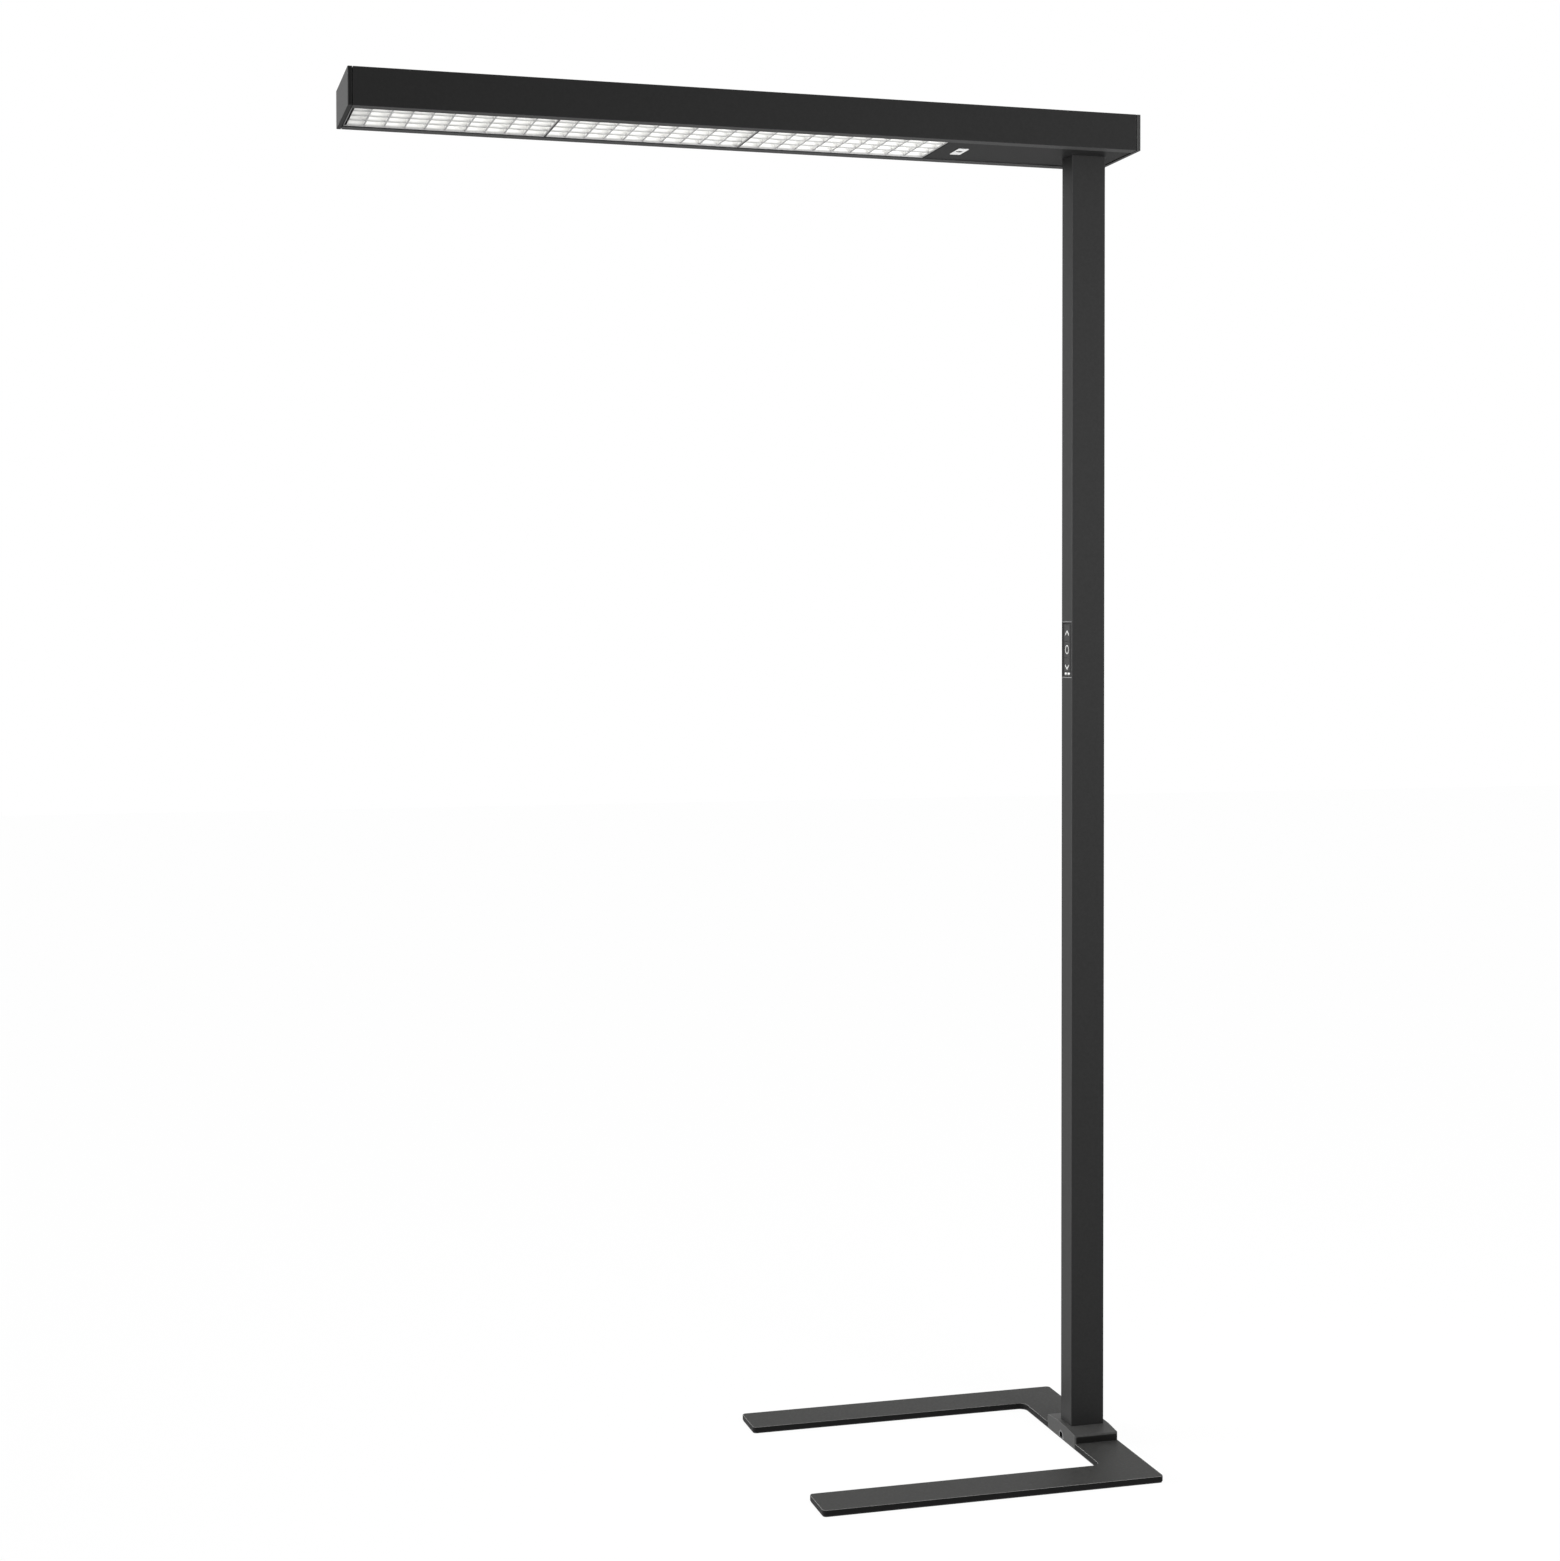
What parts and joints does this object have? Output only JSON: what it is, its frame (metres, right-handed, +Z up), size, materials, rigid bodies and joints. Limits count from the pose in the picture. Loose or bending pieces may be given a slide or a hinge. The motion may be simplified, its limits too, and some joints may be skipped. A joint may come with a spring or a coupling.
{
  "type": "office floor lamp",
  "caption": "Tall office floor lamp: a long flat head with a louvre under it, held at one end by a square pole with a keypad on a U-shaped steel base.",
  "frame": {"origin": "on the floor under the axis of the pole, at the middle of the base's crossbar", "axes": "+Z up; the head and the legs of the base run from the pole towards -X; Y goes across the head"},
  "size_m": [1.1395, 0.429, 1.95],
  "materials": {
    "steel_paint": "fine powder coat, dark grey",
    "cast_paint": "die-cast, fine powder coat in dark grey",
    "profile_paint": "extruded, fine powder coat in black grey",
    "cap_paint": "die-cast, fine powder coat in dark grey",
    "liner_rubber": "matt",
    "zinc_steel": "zinc plated",
    "bracket_metal": "as cast",
    "inlet_plastic": "fine grain",
    "pin_brass": "bright",
    "cable_sheath": "matt",
    "keypad_plastic": "fine grain",
    "keypad_plate": "satin",
    "key_plastic": "satin, with light grey marks",
    "window_opal": "opal",
    "board_green": "solder mask",
    "board_white": "white solder mask",
    "switch_black": "plain",
    "led_yellow": "phosphor gel",
    "louvre_white": "bright white",
    "diffuser_opal": "opal sheet",
    "sensor_white": "satin",
    "sensor_dark": "smoked",
    "driver_case": "plain",
    "terminal_plastic": "plain"
  },
  "bodies": {
    "lamp": {"base_liner": "liner_rubber", "base_plate": "steel_paint", "base_shoe": "cast_paint", "pole_foot": "bracket_metal", "base_screws": "zinc_steel", "foot_screws": "zinc_steel", "shoe_screws": "zinc_steel", "power_inlet": "inlet_plastic", "inlet_pins": "pin_brass", "supply_cable": "cable_sheath", "pole_tube": "profile_paint", "control_housing": "keypad_plastic", "control_plate": "keypad_plate", "status_window": "window_opal", "control_board": "board_green", "key_switches": "switch_black", "control_lead": "cable_sheath", "head_profile": "profile_paint", "end_cap_left": "cap_paint", "end_cap_right": "cap_paint", "louvre_1": "louvre_white", "louvre_2": "louvre_white", "louvre_3": "louvre_white", "louvre_diffuser": "diffuser_opal", "down_boards": "board_white", "down_leds": "led_yellow", "up_boards": "board_white", "up_leds": "led_yellow", "top_diffuser": "diffuser_opal", "top_cover": "profile_paint", "underside_panel": "profile_paint", "sensor_bezel": "sensor_white", "sensor_lens": "sensor_dark", "sensor_board": "board_green", "led_driver": "driver_case", "driver_screws": "zinc_steel", "terminal_block": "terminal_plastic", "head_bracket": "bracket_metal", "bracket_screws": "zinc_steel", "pole_head_screws": "zinc_steel"},
    "up_key": {"key_up": "key_plastic"},
    "power_key": {"key_power": "key_plastic"},
    "down_key": {"key_down": "key_plastic"}
  },
  "joints": [
    {"name": "press_up", "type": "slide", "parent": "lamp", "child": "up_key", "axis": [1, 0, 0], "range_m": [0, 0.0006], "stiffness_N_per_m": 800},
    {"name": "press_power", "type": "slide", "parent": "lamp", "child": "power_key", "axis": [1, 0, 0], "range_m": [0, 0.0006], "stiffness_N_per_m": 800},
    {"name": "press_down", "type": "slide", "parent": "lamp", "child": "down_key", "axis": [1, 0, 0], "range_m": [0, 0.0006], "stiffness_N_per_m": 800}
  ]
}
